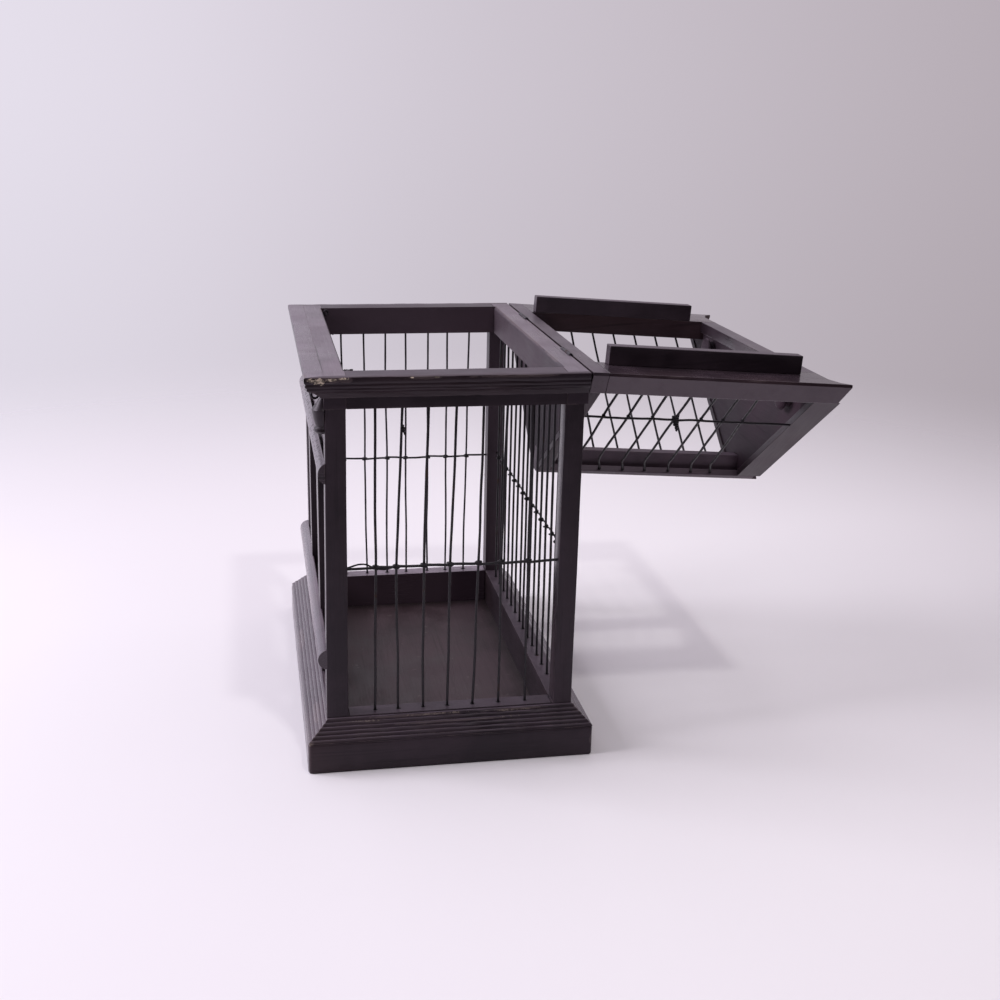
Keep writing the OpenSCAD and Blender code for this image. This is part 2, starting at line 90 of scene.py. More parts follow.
class Graph:
    """A small helper that builds one node material."""

    def __init__(self, name):
        self.mat = bpy.data.materials.new(name)
        self.mat.use_nodes = True
        self.tree = self.mat.node_tree
        self.tree.nodes.clear()
        self.out = self.node("ShaderNodeOutputMaterial")
        self.bsdf = self.node("ShaderNodeBsdfPrincipled")
        self.join(self.bsdf.outputs["BSDF"], self.out.inputs["Surface"])

    def node(self, kind, **props):
        n = self.tree.nodes.new(kind)
        for k, v in props.items():
            setattr(n, k, v)
        return n

    def join(self, a, b):
        self.tree.links.new(a, b)

    def put(self, socket, value):
        if hasattr(value, "is_output"):
            self.join(value, socket)
        else:
            socket.default_value = value

    def coords(self):
        return self.node("ShaderNodeTexCoord").outputs["Object"]

    def mapped(self, vec, scale=(1, 1, 1), turn=(0, 0, 0), shift=(0, 0, 0)):
        n = self.node("ShaderNodeMapping")
        self.join(vec, n.inputs["Vector"])
        n.inputs["Scale"].default_value = scale
        n.inputs["Rotation"].default_value = turn
        n.inputs["Location"].default_value = shift
        return n.outputs["Vector"]

    def noise(self, vec, scale, detail=3.0, rough=0.55, bend=0.0):
        n = self.node("ShaderNodeTexNoise")
        self.join(vec, n.inputs["Vector"])
        n.inputs["Scale"].default_value = scale
        n.inputs["Detail"].default_value = detail
        n.inputs["Roughness"].default_value = rough
        n.inputs["Distortion"].default_value = bend
        return n.outputs["Fac"]

    def voronoi(self, vec, scale, stray=1.0):
        n = self.node("ShaderNodeTexVoronoi")
        self.join(vec, n.inputs["Vector"])
        n.inputs["Scale"].default_value = scale
        n.inputs["Randomness"].default_value = stray
        return n.outputs["Distance"]

    def span(self, value, a, b, lo=0.0, hi=1.0):
        n = self.node("ShaderNodeMapRange", interpolation_type="SMOOTHSTEP")
        self.join(value, n.inputs["Value"])
        n.inputs["From Min"].default_value = a
        n.inputs["From Max"].default_value = b
        n.inputs["To Min"].default_value = lo
        n.inputs["To Max"].default_value = hi
        return n.outputs["Result"]

    def math(self, op, a, b=0.0, c=0.0):
        n = self.node("ShaderNodeMath", operation=op)
        for s, v in zip(n.inputs, (a, b, c)):
            self.put(s, v)
        return n.outputs["Value"]

    def vmath(self, op, a, b=None):
        n = self.node("ShaderNodeVectorMath", operation=op)
        self.put(n.inputs[0], a)
        if b is not None:
            self.put(n.inputs[1], b)
        return n.outputs["Value"] if op in ("DOT_PRODUCT", "LENGTH", "DISTANCE") else n.outputs["Vector"]

    def blend(self, fac, a, b):
        n = self.node("ShaderNodeMix", data_type="RGBA")
        self.put(n.inputs[0], fac)
        self.put(n.inputs[6], (*a, 1) if isinstance(a, tuple) else a)
        self.put(n.inputs[7], (*b, 1) if isinstance(b, tuple) else b)
        return n.outputs[2]

    def split(self, vec):
        n = self.node("ShaderNodeSeparateXYZ")
        self.join(vec, n.inputs[0])
        return n.outputs

    def bump(self, height, distance, strength=1.0, before=None):
        n = self.node("ShaderNodeBump")
        self.put(n.inputs["Height"], height)
        n.inputs["Distance"].default_value = distance
        n.inputs["Strength"].default_value = strength
        if before is not None:
            self.join(before, n.inputs["Normal"])
        return n.outputs["Normal"]

    def edge(self, radius, lo=0.02, hi=0.16):
        """0 on flat ground, 1 on the very edge of a piece."""
        b = self.node("ShaderNodeBevel", samples=6)
        b.inputs["Radius"].default_value = radius
        g = self.node("ShaderNodeNewGeometry")
        d = self.vmath("DOT_PRODUCT", b.outputs["Normal"], g.outputs["Normal"])
        return self.span(self.math("SUBTRACT", 1.0, d), lo, hi)

    def spot(self, p, centre, radii, wobble=None, amount=0.6):
        """1 inside an irregular ellipsoid about centre (mm), 0 outside."""
        q = self.vmath("SUBTRACT", p, tuple(v * MM for v in centre))
        q = self.vmath("DIVIDE", q, tuple(v * MM for v in radii))
        r = self.vmath("LENGTH", q)
        if wobble is not None:
            r = self.math("ADD", r, self.math("MULTIPLY", self.math("SUBTRACT", wobble, 0.5), amount))
        return self.span(r, 1.05, 0.8)


COOL = (0.0350, 0.0245, 0.0320)
DARK, MID, RED = (0.0155, 0.0105, 0.0140), (0.0305, 0.0205, 0.0270), (0.0480, 0.0275, 0.0290)
RUBBED, BARE = (0.110, 0.082, 0.085), (0.50, 0.42, 0.33)

GRAIN = {  # scale along x, y, z: small along the grain
    "X": (0.035, 1.0, 1.0),
    "Y": (1.0, 0.035, 1.0),
    "Z": (1.0, 1.0, 0.035),
}


def painted(name, axis, turn=(0, 0, 0), seed=0.0, tone=1.0, gloss=0.40, wear=1.0, chips=(), rubs=(), cracks=(), tint=None, dust_and_sheen=0.24, pits=0.0,
            spec=0.5, chipped=0.60, painted_bounce=0.0, sides=0.0, matt_sides=0.0, glint=(0.98, 0.90, 1.0), ends=0.0, shine=0.0, coat=0.0, lift=None, relief=0.55):
    """Old dark brown paint over wood: brushed grain, mottling, rubbed edges, chips, dust and painted sheen, with
    optional painted light and shade by the way a face turns.
    """
    g = Graph(name)
    p = g.coords()
    base = g.mapped(p, turn=turn, shift=(seed * 0.37, seed * 0.53, seed * 0.71))
    grain_v = g.mapped(base, scale=GRAIN[axis])
    fine = g.noise(grain_v, 1500, 3, 0.6)
    broad = g.noise(grain_v, 330, 4, 0.6, 0.4)
    mottle = g.noise(base, 22, 4, 0.55)
    cloud = g.noise(base, 7, 2, 0.5)
    speck = g.noise(base, 900, 2, 0.5)
    blot = g.noise(base, 75, 5, 0.6)

    dark, mid, red = [tuple(c * tone for c in col) for col in (DARK, MID, tint or RED)]
    col = g.blend(g.span(mottle, 0.36, 0.66), dark, mid)
    col = g.blend(g.math("MULTIPLY", g.span(cloud, 0.45, 0.7), 0.55), col, red)
    col = g.blend(g.math("MULTIPLY", g.span(broad, 0.52, 0.74), 0.45), col, tuple(c * 0.45 for c in dark))
    col = g.blend(g.math("MULTIPLY", g.span(fine, 0.55, 0.8), 0.30), col, tuple(c * 1.9 for c in mid))

    # face directions; dust and a painted sheen lie on what faces up
    geo = g.node("ShaderNodeNewGeometry")
    nx, ny, nz = g.split(geo.outputs["Normal"])
    end = g.span(g.math("ABSOLUTE", ny), 0.80, 0.97) if ends else None
    up = g.span(nz, 0.80, 1.0)
    level = g.math("SUBTRACT", 1.0, up)
    # painted shade: faces that don't face up are drawn darker and more even than the lit tops
    if sides:
        col = g.blend(g.math("MULTIPLY", level, sides), col, tuple(c * 0.62 for c in mid))
    if painted_bounce:
        # painted light: faces that face down are greyed and lightened, as bounce light from the floor would
        col = g.blend(g.math("MULTIPLY", g.span(nz, -0.12, -0.40, 0.0, painted_bounce), g.span(blot, 0.25, 0.6, 0.75, 1.0)), col, (0.098, 0.075, 0.088))
    # dust on up-facing faces, and painted sheen: this lightening also stands in for the backdrop's reflection at a
    # grazing angle
    dust_and_sheen_mask = g.math("MULTIPLY", up, g.span(g.noise(base, 40, 5, 0.65), 0.25, 0.78, 0.42, 0.92))
    col = g.blend(g.math("MULTIPLY", dust_and_sheen_mask, dust_and_sheen), col, (0.33, 0.265, 0.33))

    if ends:
        # painted shade: the ends, faces that face along y, are drawn darker and duller
        col = g.blend(g.math("MULTIPLY", end, ends), col, tuple(c * 2.0 for c in DARK))
    # painted light: faces turned towards the given way are lightened towards a light brown
    if lift:
        way, amount = lift
        col = g.blend(g.math("MULTIPLY", g.span(g.vmath("DOT_PRODUCT", geo.outputs["Normal"], way), 0.8, 0.97), amount), col, tuple(c * 2.6 for c in MID))

    # rubbed edges, and small chips along them
    e = g.edge(0.0013)
    rub = g.math("MULTIPLY", e, g.span(g.math("ADD", blot, g.math("MULTIPLY", speck, 0.25)), 0.56, 0.74))
    col = g.blend(g.math("MULTIPLY", rub, 0.62 * wear), col, RUBBED)
    chip = g.math("MULTIPLY", e, g.span(g.noise(base, 210, 3, 0.6), 0.69, 0.73))
    chip = g.math("MULTIPLY", chip, g.span(cloud, 0.46, 0.60))
    ragged = g.noise(base, 520, 3, 0.65)
    for centre, radii in chips:
        inside = g.math("MULTIPLY", g.spot(p, centre, radii, ragged, 2.2), g.span(g.noise(base, 420, 4, 0.7), 0.34, 0.44))
        chip = g.math("MAXIMUM", chip, inside)
    for centre, radii in rubs:
        inside = g.spot(p, centre, radii, g.noise(base, 160, 4, 0.6), 1.4)
        col = g.blend(g.math("MULTIPLY", inside, 0.55), col, RUBBED)
    bare = g.blend(g.span(g.noise(base, 460, 3, 0.6), 0.45, 0.55), tuple(c * 0.30 for c in BARE), tuple(min(0.86, c * 1.5) for c in BARE))
    col = g.blend(g.math("MULTIPLY", chip, chipped), col, bare)
    for centre, radii in cracks:
        inside = g.spot(p, centre, radii, g.noise(base, 140, 2, 0.5), 0.35)
        col = g.blend(g.math("MULTIPLY", inside, 0.9), col, (0.002, 0.0015, 0.0015))
    pit = None
    if pits:
        # rows of fine pits and dirt left by the cutter
        rows = g.mapped(p, scale=(0.0, 1 / 0.0054, 1 / 0.0025))
        pit = g.math("MULTIPLY", g.span(g.voronoi(rows, 1.0, 0.45), 0.42, 0.26), g.span(blot, 0.36, 0.48))
        col = g.blend(g.math("MULTIPLY", pit, pits), col, tuple(c * 0.35 for c in dark))
    g.join(col, g.bsdf.inputs["Base Color"])

    rough = g.span(g.math("ADD", g.math("MULTIPLY", mottle, 0.6), g.math("MULTIPLY", fine, 0.4)), 0.3, 0.7, gloss - 0.07, gloss + 0.12)
    rough = g.math("ADD", rough, g.math("MULTIPLY", dust_and_sheen_mask, 0.05))
    rough = g.math("ADD", rough, g.math("MULTIPLY", g.math("MAXIMUM", rub, chip), 0.25))
    if matt_sides:
        rough = g.math("ADD", rough, g.math("MULTIPLY", level, matt_sides))
    if shine:
        rough = g.math("SUBTRACT", rough, g.math("MULTIPLY", g.span(nx, -0.6, -0.95), shine))
    g.join(rough, g.bsdf.inputs["Roughness"])
    g.bsdf.inputs["IOR"].default_value = 1.5
    g.bsdf.inputs["Specular Tint"].default_value = (*glint, 1)
    if shine:
        g.join(g.span(nx, -0.6, -0.95, spec, 0.52), g.bsdf.inputs["Specular IOR Level"])
    elif ends:
        g.join(g.math("SUBTRACT", spec, g.math("MULTIPLY", end, max(0.0, spec - 0.27))), g.bsdf.inputs["Specular IOR Level"])
    else:
        g.bsdf.inputs["Specular IOR Level"].default_value = spec
    if coat:
        # old wax polish
        g.bsdf.inputs["Coat Weight"].default_value = coat
        g.bsdf.inputs["Coat Roughness"].default_value = 0.24
        g.bsdf.inputs["Coat Tint"].default_value = (0.98, 0.94, 1.0, 1)

    h = g.math("ADD", g.math("MULTIPLY", broad, 0.9), g.math("MULTIPLY", fine, 0.35))
    h = g.math("ADD", h, g.math("MULTIPLY", blot, 0.5))
    h = g.math("SUBTRACT", h, g.math("MULTIPLY", chip, 0.8))
    if pit is not None:
        h = g.math("SUBTRACT", h, g.math("MULTIPLY", pit, 2.6))
        rough = g.math("ADD", rough, g.math("MULTIPLY", pit, 0.3))
        g.join(rough, g.bsdf.inputs["Roughness"])
    g.join(g.bump(h, 0.00016, relief), g.bsdf.inputs["Normal"])
    return g.mat


def iron(name, seed=0.0, tone=1.0):
    """Black iron wire with old paint on it and a little rust."""
    g = Graph(name)
    p = g.mapped(g.coords(), shift=(seed, seed * 0.7, seed * 0.3))
    a, b, c = g.noise(p, 260, 4, 0.6), g.noise(p, 60, 3, 0.5), g.noise(p, 1300, 2, 0.5)
    col = g.blend(g.span(a, 0.4, 0.65), tuple(v * tone for v in (0.0085, 0.0070, 0.0098)), tuple(v * tone for v in (0.020, 0.0162, 0.0215)))
    rust = g.math("MULTIPLY", g.span(b, 0.56, 0.70), g.span(a, 0.50, 0.62))
    col = g.blend(g.math("MULTIPLY", rust, 0.75), col, (0.050, 0.0240, 0.0150))
    g.join(col, g.bsdf.inputs["Base Color"])
    g.bsdf.inputs["Metallic"].default_value = 0.35
    g.join(g.span(g.math("ADD", a, g.math("MULTIPLY", rust, 0.5)), 0.35, 0.9, 0.36, 0.74), g.bsdf.inputs["Roughness"])
    g.join(g.bump(g.math("ADD", a, g.math("MULTIPLY", c, 0.4)), 0.00012, 0.6), g.bsdf.inputs["Normal"])
    return g.mat


def floor_wood(name):
    """The stained floor: brown, matt, with long grain and old marks, darker along the walls."""
    g = Graph(name)
    p = g.coords()
    v = g.mapped(p, scale=GRAIN["Y"])
    fine, broad = g.noise(v, 1300, 3, 0.6), g.noise(v, 260, 5, 0.62, 0.5)
    blot, stain = g.noise(p, 30, 4, 0.55), g.noise(p, 11, 3, 0.5)
    col = g.blend(g.span(blot, 0.35, 0.66), (0.043, 0.0258, 0.0305), (0.070, 0.0445, 0.0525))
    col = g.blend(g.math("MULTIPLY", g.span(broad, 0.5, 0.72), 0.45), col, (0.021, 0.0130, 0.0145))
    col = g.blend(g.math("MULTIPLY", g.span(fine, 0.56, 0.8), 0.22), col, (0.092, 0.064, 0.068))
    col = g.blend(g.math("MULTIPLY", g.span(stain, 0.52, 0.70), 0.40), col, (0.080, 0.057, 0.065))
    # how far each point lies inside the walls; the floor is drawn darker within about 12 mm of them
    x, y, _ = g.split(p)
    rim = g.math("MINIMUM", g.math("SUBTRACT", 0.0717, g.math("ABSOLUTE", x)), g.math("SUBTRACT", 0.1296, g.math("ABSOLUTE", y)))
    rim = g.math("ADD", rim, g.math("MULTIPLY", g.math("SUBTRACT", g.noise(p, 55, 4, 0.6), 0.5), 0.012))
    col = g.blend(g.span(rim, 0.012, -0.001, 0.0, 0.62), col, (0.012, 0.0085, 0.008))
    # droppings and scuffs, very faint
    scuff = g.math("MULTIPLY", g.span(g.noise(p, 140, 3, 0.6), 0.66, 0.72), 0.35)
    col = g.blend(scuff, col, (0.15, 0.125, 0.12))
    g.join(col, g.bsdf.inputs["Base Color"])
    g.join(g.span(g.math("ADD", blot, g.math("MULTIPLY", fine, 0.3)), 0.4, 0.85, 0.42, 0.64), g.bsdf.inputs["Roughness"])
    h = g.math("ADD", g.math("MULTIPLY", broad, 1.0), g.math("MULTIPLY", fine, 0.4))
    g.join(g.bump(h, 0.00020, 0.6), g.bsdf.inputs["Normal"])
    return g.mat


LID_TURN = (0, LID_REST, 0)
M = {
    "cage_x": painted("paint_cage_x", "X", seed=1.3, tone=1.15, tint=COOL, spec=0.27, sides=0.35),
    "cage_y": painted("paint_cage_y", "Y", seed=2.1, spec=0.35),
    "cage_z": painted("paint_cage_z", "Z", seed=3.7, tone=1.02, tint=COOL, gloss=0.42, spec=0.27, shine=0.13),
    # paint of the far-end pieces: copies with painted light on their faces that face -y, which lie in shade
    "cage_z_far": painted("paint_cage_z_far", "Z", seed=3.2, tone=1.0, gloss=0.42, spec=0.40, lift=((0, -1, 0), 0.55)),
    "cage_x_far": painted("paint_cage_x_far", "X", seed=1.9, spec=0.36, dust_and_sheen=0.16, lift=((0, -1, 0), 0.72)),
    "low_far": painted("paint_low_far", "X", seed=1.7, gloss=0.22, dust_and_sheen=1.0, lift=((0, -1, 0), 0.95)),
    "top_y": painted("paint_top_y", "Y", seed=2.6, tone=1.30, gloss=0.27, dust_and_sheen=0.50, sides=0.6, matt_sides=0.30, ends=0.9, glint=(0.97, 0.87, 1.0), tint=(0.050, 0.027, 0.036),
                     cracks=[((-83.75, -85, 275), (0.35, 56, 1.2)), ((86.5, -70, 275), (0.3, 26, 1.2)), ((82, -139.5, 275), (7, 0.5, 1.2))],
                     rubs=[((77.2, 30, 274.5), (1.6, 100, 1.5)), ((77.0, -90, 274.5), (1.6, 22, 1.5)), ((-71, 118, 274.8), (1.5, 12, 1.0)), ((88, 20, 275), (0.8, 60, 1.0))]),
    "drop": painted("paint_drop", "Z", seed=3.1, tone=0.62, gloss=0.36, spec=0.34),
    # painted light: the frieze is the paint at about twice the tone, lightened for the strong light from the left
    "frieze": painted("paint_frieze", "Y", seed=8.4, tone=1.9, gloss=0.34, coat=0.35, ends=0.6),
    "base_x": painted("paint_base_x", "X", seed=4.2, tone=1.06, dust_and_sheen=0.42, wear=1.5, gloss=0.42, spec=0.28, chipped=0.17, tint=(0.058, 0.031, 0.028),
                      rubs=[((-98, -155, 23), (2.6, 3, 2.0)), ((99, -154.5, 12), (1.8, 3, 4)), ((-30, -145, 34.6), (30, 1.2, 0.8)), ((48, -145, 34.6), (24, 1.2, 0.8)), ((0, -149, 30.4), (40, 1.0, 0.6))],
                      chips=[((-98.6, -154.4, 22.2), (2.6, 1.8, 1.1)), ((-8, -144.4, 34.6), (22, 1.0, 0.7)), ((44, -145, 34), (14, 1.0, 0.6)), ((-60, -146, 33), (12, 1.0, 0.6)),
                             ((40, -149, 31), (9, 1.2, 0.6)),
                             ((99.6, -154.5, 15), (0.7, 1.6, 2.6))]),
    "base_y": painted("paint_base_y", "Y", seed=5.6, tone=1.40, wear=0.7, gloss=0.26, coat=0.32,
                      rubs=[((-92, -120, 29), (3, 18, 3)), ((-97, 20, 25), (3, 24, 3))]),
    "cornice_x": painted("paint_cornice_x", "X", seed=6.4, tone=1.15, wear=1.25, gloss=0.36, spec=0.27, sides=0.3, chipped=0.9,
                         chips=[((-91.5, -148.8, 273.2), (3.4, 1.8, 1.5)), ((-86.5, -149, 272.5), (4.2, 1.8, 2.3)), ((-80, -149, 273.6), (4.2, 1.3, 1.0)),
                                ((-71.5, -149, 274.1), (4.2, 1.0, 0.7)), ((-28, -149, 274.2), (1.1, 0.7, 0.5)), ((-12, -149, 274.2), (1.3, 0.7, 0.5))],
                         rubs=[((-80, -149, 273.4), (18, 2.0, 2.2)), ((-20, -149, 274), (12, 1.5, 1.4)), ((40, -149, 274), (30, 1.5, 1.0))],
                         cracks=[((-91, -149.2, 274.0), (1.6, 0.8, 0.5)), ((-83, -149.2, 272.2), (2.6, 0.8, 0.4)), ((-96.4, -149, 272.6), (0.9, 1.2, 1.4))]),
    "cornice_y": painted("paint_cornice_y", "Y", seed=7.9, wear=0.6, tone=1.30, gloss=0.27, dust_and_sheen=0.51, glint=(0.97, 0.87, 1.0), rubs=[((-96, -142, 274), (2.0, 8, 1.6))]),
    # painted light: the front half-rounds are the paint at about twice the tone, lightened for the strong light from
    # the left
    "front_worn": painted("paint_front_worn", "Y", seed=8.8, wear=1.3, tone=1.9, gloss=0.25, coat=0.6, ends=0.9),
    "front_upper": painted("paint_front_upper", "Y", seed=8.1, wear=1.3, tone=2.0, gloss=0.27, coat=0.5, pits=0.85, ends=0.9),
    "lid_x": painted("paint_lid_x", "X", LID_TURN, seed=9.1, tone=1.45, relief=0.22, gloss=0.17, dust_and_sheen=0.05, spec=0.42, painted_bounce=0.92,
                     rubs=[((100, -147.4, 274), (4.0, 1.4, 1.0)), ((150, -147.4, 270.8), (7, 1.4, 0.6)), ((208, -147.4, 266.7), (8, 1.6, 0.7))]),
    "lid_y": painted("paint_lid_y", "Y", LID_TURN, seed=10.5, tone=1.05, gloss=0.30, dust_and_sheen=0.30, spec=0.42, painted_bounce=0.7),
    "lid_board": painted("paint_lid_board", "X", LID_TURN, seed=11.2, tone=1.5, tint=COOL, gloss=0.40, wear=1.1, spec=0.40),
    # painted light: the ridge beam is the lid paint at nearly three times the tone, lightening its shaded face
    "lid_beam": painted("paint_lid_beam", "X", LID_TURN, seed=15.3, tone=2.8, tint=COOL, gloss=0.42, wear=1.2),
    "lid_gable": painted("paint_lid_gable", "Y", LID_TURN, seed=12.7, tone=1.15, gloss=0.56, spec=0.16, glint=(0.97, 0.80, 1.0), tint=(0.046, 0.026, 0.036),
                         cracks=[((232, -96, 238), (9, 14, 0.6)), ((240, -70, 230), (8, 0.7, 9))]),
    "lid_near_slope": painted("paint_lid_near_slope", "Y", (NEAR_SLOPE.angle, LID_REST, 0), seed=13.9, tone=1.10, gloss=0.42, spec=0.44, painted_bounce=0.25),
    "lid_far_slope": painted("paint_lid_far_slope", "Y", (-FAR_SLOPE.angle, LID_REST, 0), seed=14.4, tone=1.15, gloss=0.52, spec=0.22),
    "wire": iron("iron_wire", 0.0),
    "wire_far": iron("iron_wire_far", 0.57, 2.6),
    "tie": iron("iron_tie", 0.41, 1.1),
    "hardware": iron("iron_hardware", 0.83, 1.7),
    "socket": iron("wire_sockets", 1.27, 0.5),
    "floor": floor_wood("stained_floor"),
}

# ---------------------------------------------------------------- finishes of the CAD pieces that are shown
LOOKS = {
    "floor_board": ("floor", 0.0),
    "post_": ("cage_z", 0.7), "post_front_far": ("cage_z_far", 0.7), "post_hinge_far": ("cage_z_far", 0.7),
    "bottom_rail_front": ("cage_y", 0.7), "bottom_rail_hinge_side": ("cage_y", 0.7),
    "bottom_rail_near_end": ("cage_x", 0.7), "bottom_rail_far_end": ("low_far", 0.7),
    "top_rail_front": ("top_y", 0.45), "top_rail_hinge_side": ("top_y", 0.45),
    "top_rail_near_end": ("cage_x", 0.5), "top_rail_far_end": ("cage_x_far", 0.5),
    "front_frieze": ("frieze", 0.4), "front_stile_": ("cage_z", 0.6),
    "front_half_round_lower": ("front_worn", 0.3), "front_half_round_upper": ("front_upper", 0.3), "front_split_drops": ("drop", 0.25),
    "small_screw_eyes": ("hardware", 0.0),
    "hinge_": ("hardware", 0.08), "hinge_pins": ("hardware", 0.1),
    "lid_hinge_rail": ("lid_y", 0.5), "lid_front_rail": ("lid_y", 0.5),
    "lid_near_rail": ("lid_x", 0.35), "lid_far_rail": ("lid_x", 0.35),
    "lid_near_moulding": ("lid_x", 0.5), "lid_far_moulding": ("lid_x", 0.5),
    "lid_gable_": ("lid_gable", 0.5), "lid_slope_stiles_near": ("lid_near_slope", 0.5),
    "lid_slope_stiles_far": ("lid_far_slope", 0.5), "lid_ridge_beam": ("lid_beam", 0.6),
    "lid_ridge_strips": ("lid_beam", 0.6), "lid_locating_board_": ("lid_board", 0.55),
    "lid_gable_knobs": ("lid_gable", 0.0),
}


def dress(name, o):
    key = max((k for k in LOOKS if name.startswith(k)), key=len)
    mat, width = LOOKS[key]
    o.data.materials.clear()
    o.data.materials.append(M[mat])
    weld = o.modifiers.new("weld", "WELD")
    weld.merge_threshold = 0.00001
    if width:
        bev = o.modifiers.new("soft_edges", "BEVEL")
        bev.width = width * MM
        bev.segments = 3
        bev.limit_method = "ANGLE"
        bev.angle_limit = math.radians(32)
        bev.harden_normals = True
        bev.use_clamp_overlap = True


# ---------------------------------------------------------------- pieces
def add_mesh(name, verts, faces, mat, smooth=True):
    me = bpy.data.meshes.new(name)
    me.from_pydata([Vector(v) * MM for v in verts], [], faces)
    me.validate()
    me.materials.append(mat)
    if smooth:
        me.polygons.foreach_set("use_smooth", [True] * len(me.polygons))
    o = bpy.data.objects.new(name, me)
    scene.collection.objects.link(o)
    return o


def sharp(o, degrees=38):
    """Marks the edges that are really sharp, so that the rest shades smooth."""
    me = o.data
    faces_of = {}
    for f in me.polygons:
        for k in f.edge_keys:
            faces_of.setdefault(k, []).append(f.normal.copy())
    marks = [False] * len(me.edges)
    for e in me.edges:
        n = faces_of.get(e.key, [])
        if len(n) == 2 and n[0].length and n[1].length and n[0].angle(n[1]) > math.radians(degrees):
            marks[e.index] = True
    at = me.attributes.new("sharp_edge", "BOOLEAN", "EDGE") if "sharp_edge" not in me.attributes else me.attributes["sharp_edge"]
    at.data.foreach_set("value", marks)


def loft(name, rings, mat):
    """Skins closed rings of points that all have the same number of points, and caps both ends."""
    n = len(rings[0])
    verts = [v for r in rings for v in r]
    faces = []
    for i in range(len(rings) - 1):
        for j in range(n):
            k = (j + 1) % n
            faces.append((i * n + j, i * n + k, (i + 1) * n + k, (i + 1) * n + j))
    faces.append(tuple(reversed(range(n))))
    faces.append(tuple((len(rings) - 1) * n + j for j in range(n)))
    o = add_mesh(name, verts, faces, mat)
    import bmesh
    bm = bmesh.new()
    bm.from_mesh(o.data)
    bmesh.ops.recalc_face_normals(bm, faces=bm.faces)
    bm.to_mesh(o.data)
    bm.free()
    sharp(o)
    return o


def wander(seed, s, size=1.0):
    """A smooth number between about -1 and 1 that changes with s."""
    return noise.noise(Vector((seed * 7.31 + 0.5, s * size, seed * 1.7 + 0.13))) * 1.6


def moulded_run(name, profile, c0, c1, outward, mat, seed, steps=60, wob_t=0.22, wob_z=0.17, gap=0.07):
    """Sweeps a profile of (share outwards, z) points from corner c0 to corner c1; both corners move out with the profile."""
    rings = []
    for i in range(steps + 1):
        s = i / steps
        ring = []
        for j, (t, z) in enumerate(profile):
            a, b = Vector(c0(t)), Vector(c1(t))
            along = (b - a).normalized()
            p = a.lerp(b, s)
            if i == 0:
                p += along * gap
            if i == steps:
                p -= along * gap
            fade = min(1.0, 6 * s, 6 * (1 - s))
            w = wander(seed, s * 11 + z * 0.85, 1.0) * fade if 0.02 < t < 0.995 else 0.0
            v = wander(seed + 3.3, s * 17 + z * 0.35, 1.0) * fade if 0.02 < t < 0.995 else 0.0
            w -= max(0.0, wander(seed + 6.1, s * 29 + z * 1.9, 1.0) - 0.35) * 0.9 * fade if 0.02 < t < 0.995 else 0.0
            if t > 0.86:
                w = min(w, 0.0)
            ring.append((p.x + outward[0] * w * wob_t, p.y + outward[1] * w * wob_t, z + v * wob_z))
        rings.append(ring)
    return loft(name, rings, mat)


def finish_piece(o, body, replaced):
    if replaced:
        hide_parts(*replaced)
    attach(o, body)
    return o


def smooth_line(points, per=6):
    """Catmull-Rom through the points."""
    pts = [Vector(p) for p in points]
    if len(pts) < 3:
        return pts
    ext = [pts[0] * 2 - pts[1]] + pts + [pts[-1] * 2 - pts[-2]]
    out = []
    for i in range(1, len(ext) - 2):
        a, b, c, d = ext[i - 1:i + 3]
        for k in range(per):
            t = k / per
            out.append(0.5 * ((2 * b) + (c - a) * t + (2 * a - 5 * b + 4 * c - d) * t * t + (3 * b - a - 3 * c + d) * t ** 3))
    out.append(pts[-1])
    return out


def wires(name, strands, mat, body, replaced, sides=3):
    """strands: lists of points (mm) with their radius (mm)."""
    cu = bpy.data.curves.new(name, "CURVE")
    cu.dimensions = "3D"
    cu.bevel_depth = MM
    cu.bevel_resolution = sides
    cu.use_fill_caps = True
    for k, (pts, r) in enumerate(strands):
        sp = cu.splines.new("POLY")
        sp.points.add(len(pts) - 1)
        for i, p in enumerate(pts):
            sp.points[i].co = (*(Vector(p) * MM), 1)
            sp.points[i].radius = r * (1 + 0.05 * wander(k + 2.1, i * 0.7))
        sp.use_smooth = True
    cu.materials.append(mat)
    o = bpy.data.objects.new(name, cu)
    scene.collection.objects.link(o)
    return finish_piece(o, body, replaced)


def upright(foot, top, seed, bow=0.5, n=15, side=(1, 0, 0), depth=(0, 1, 0)):
    """A wire between two points, bowed a little and irregularly."""
    a, b = Vector(foot), Vector(top)
    out = []
    for i in range(n + 1):
        s = i / n
        fade = min(1.0, 5 * s, 5 * (1 - s))
        w = wander(seed, s * 3.1) * bow * fade + wander(seed + 9.2, s * 7.7) * bow * 0.3 * fade
        v = wander(seed + 4.4, s * 2.7) * bow * 0.4 * fade
        out.append(a.lerp(b, s) + Vector(side) * w + Vector(depth) * v)
    return out


def point_at(line, key, value):
    """Point of a line where coordinate key passes value."""
    for p, q in zip(line, line[1:]):
        lo, hi = sorted((p[key], q[key]))
        if lo <= value <= hi and hi > lo:
            return p.lerp(q, (value - p[key]) / (q[key] - p[key]))
    return line[-1]


